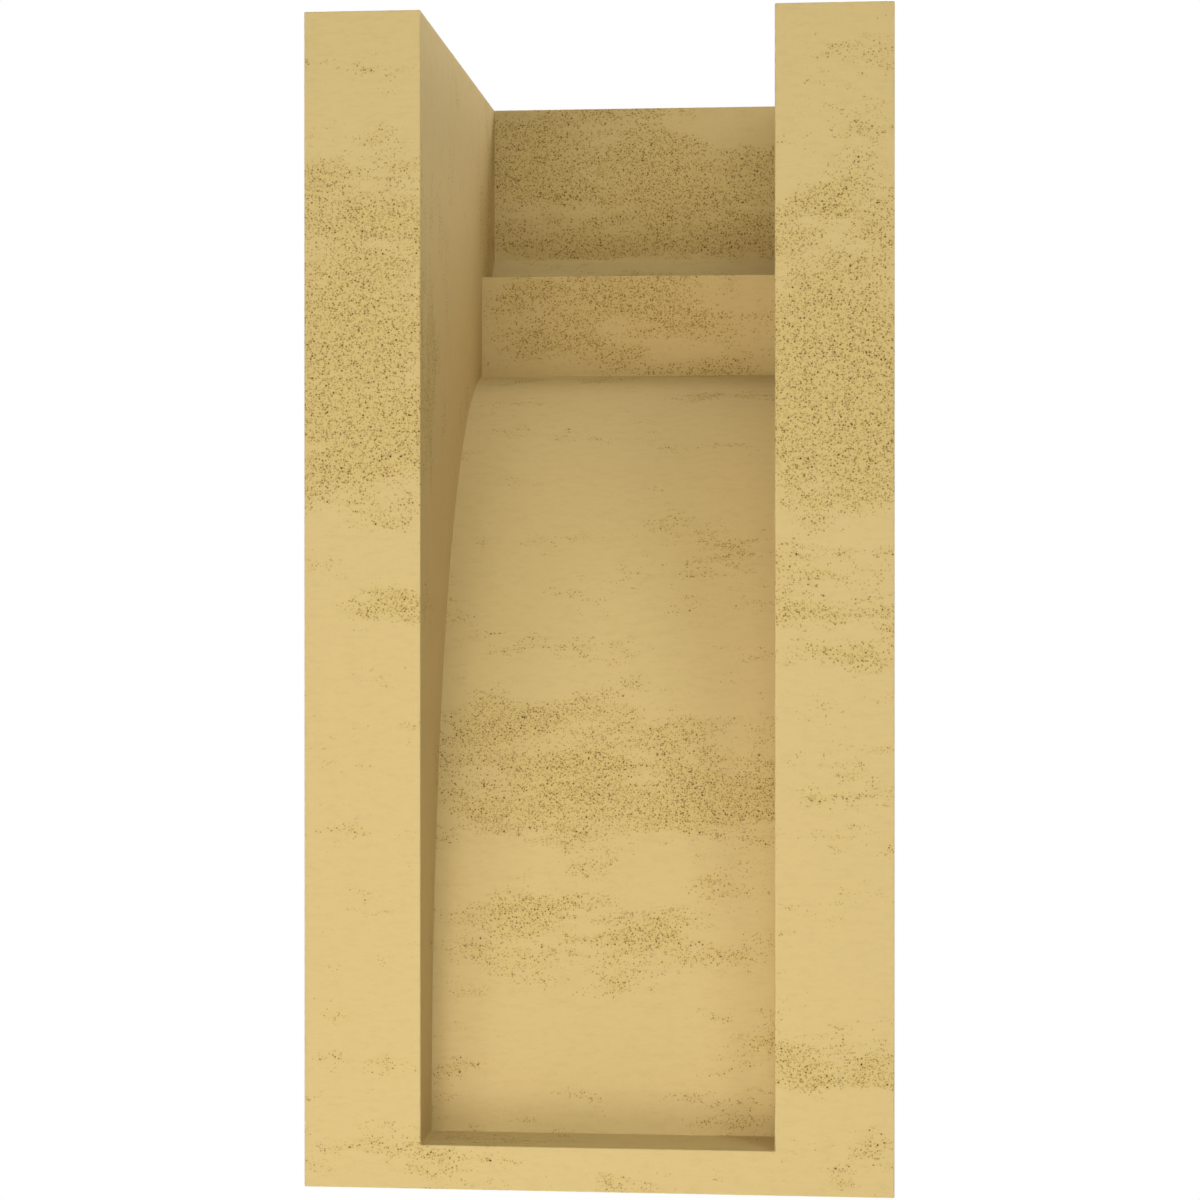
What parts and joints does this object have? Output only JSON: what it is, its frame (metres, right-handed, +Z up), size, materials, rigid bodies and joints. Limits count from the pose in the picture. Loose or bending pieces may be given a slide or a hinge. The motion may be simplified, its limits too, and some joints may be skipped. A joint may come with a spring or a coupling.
{
  "type": "corbel",
  "caption": "Plain hollow moulded corbel, open at the back and top, with a square block, bevelled bed mould, fascia and long cove down to a slim foot.",
  "frame": {"origin": "on the wall plane, at the middle of the base's back rim, half the base's thickness above the underside", "axes": "+Y points out of the corbel's back into the wall, so the front faces -Y; +Z is up; +X is the cheek on the left of the picture"},
  "size_m": [0.254, 0.254, 0.508],
  "materials": {
    "primed_tan": "matte primed moulding, pale yellow tan, peppered with small dark olive pinholes in loose bands along the grain"
  },
  "bodies": {
    "root": {"corbel": "primed_tan"}
  },
  "joints": []
}
